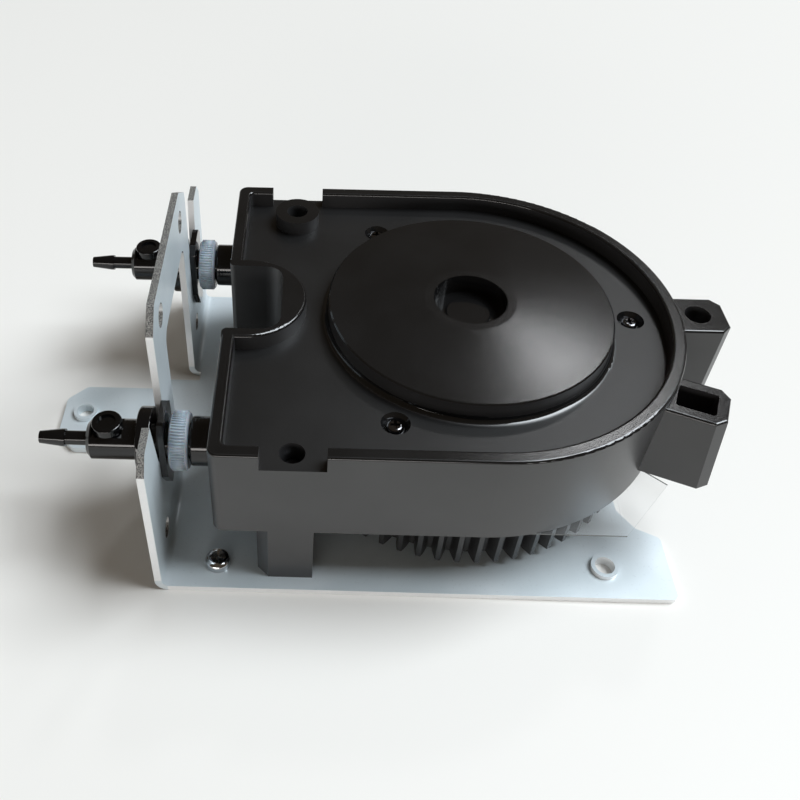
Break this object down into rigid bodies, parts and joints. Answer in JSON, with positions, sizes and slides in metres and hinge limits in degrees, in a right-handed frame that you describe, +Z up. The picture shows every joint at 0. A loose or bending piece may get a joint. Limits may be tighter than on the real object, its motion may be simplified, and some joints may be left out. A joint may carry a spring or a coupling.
{
  "type": "peristaltic pump head",
  "caption": "Peristaltic pump head: D-shaped housing with a roller rotor and drive gear, barbed tube fittings and a folded sheet-steel mounting bracket.",
  "frame": {"origin": "rotor axis at the underside of the base plate", "axes": "+Z up along the rotor axis, -X towards the tube fittings and the foot, -Y the front side with the burred base hole"},
  "size_m": [0.1529, 0.0956, 0.0572],
  "materials": {
    "zinc_sheet": "zinc-plated sheet, satin",
    "housing_plastic": "black, fine grain, satin",
    "gear_plastic": "black, satin",
    "fitting_plastic": "black, glossy",
    "nut_plastic": "milky white, slightly see-through",
    "roller_plastic": "white acetal",
    "clear_sheet": "clear polyester film",
    "tube_rubber": "translucent hose rubber",
    "seal_rubber": "black seal rubber",
    "steel": "ground steel",
    "screw_steel": "bright zinc-plated screw",
    "bush_bronze": "sintered bronze"
  },
  "bodies": {
    "housing": {"base_bracket": "zinc_sheet", "pump_housing": "housing_plastic", "bottom_cover": "housing_plastic", "tube_race": "gear_plastic", "pump_tube": "tube_rubber", "clear_film": "clear_sheet", "lower_bush": "bush_bronze", "upper_bush": "bush_bronze", "thrust_washer": "steel", "deck_screws": "screw_steel", "cover_screws": "screw_steel", "leg_screws": "screw_steel", "plate_screw": "screw_steel", "front_fitting": "fitting_plastic", "front_plug": "fitting_plastic", "front_clamp_plate": "fitting_plastic", "front_port_sleeve": "fitting_plastic", "front_seal": "seal_rubber", "rear_fitting": "fitting_plastic", "rear_plug": "fitting_plastic", "rear_clamp_plate": "fitting_plastic", "rear_port_sleeve": "fitting_plastic", "rear_seal": "seal_rubber"},
    "rotor": {"rotor_spider": "gear_plastic", "rotor_top_plate": "gear_plastic", "roller_pins": "steel", "rotor_shaft": "steel", "cross_pins": "steel", "shaft_clip": "steel", "drive_gear": "gear_plastic"},
    "roller_one": {"roller_1": "roller_plastic"},
    "roller_two": {"roller_2": "roller_plastic"},
    "roller_three": {"roller_3": "roller_plastic"},
    "nut_front": {"front_nut": "nut_plastic"},
    "nut_rear": {"rear_nut": "nut_plastic"}
  },
  "joints": [
    {"name": "rotor_spin", "type": "hinge", "parent": "housing", "child": "rotor", "pos_m": [0, 0, 0.0275], "axis": [0, 0, 1], "continuous": true},
    {"name": "roller_one_spin", "type": "hinge", "parent": "rotor", "child": "roller_one", "pos_m": [0.0195, 0, 0.0275], "axis": [0, 0, 1], "continuous": true},
    {"name": "roller_two_spin", "type": "hinge", "parent": "rotor", "child": "roller_two", "pos_m": [-0.00975, 0.01689, 0.0275], "axis": [0, 0, 1], "continuous": true},
    {"name": "roller_three_spin", "type": "hinge", "parent": "rotor", "child": "roller_three", "pos_m": [-0.00975, -0.01689, 0.0275], "axis": [0, 0, 1], "continuous": true},
    {"name": "front_nut_turn", "type": "hinge", "parent": "housing", "child": "nut_front", "pos_m": [-0.06095, -0.0295, 0.0277], "axis": [1, 0, 0], "range_deg": [-90, 90]},
    {"name": "rear_nut_turn", "type": "hinge", "parent": "housing", "child": "nut_rear", "pos_m": [-0.06095, 0.0295, 0.0277], "axis": [1, 0, 0], "range_deg": [-90, 90]}
  ],
  "couplings": [
    {"joint": "roller_one_spin", "follows": "rotor_spin", "ratio": -3.7083},
    {"joint": "roller_two_spin", "follows": "rotor_spin", "ratio": -3.7083},
    {"joint": "roller_three_spin", "follows": "rotor_spin", "ratio": -3.7083}
  ]
}
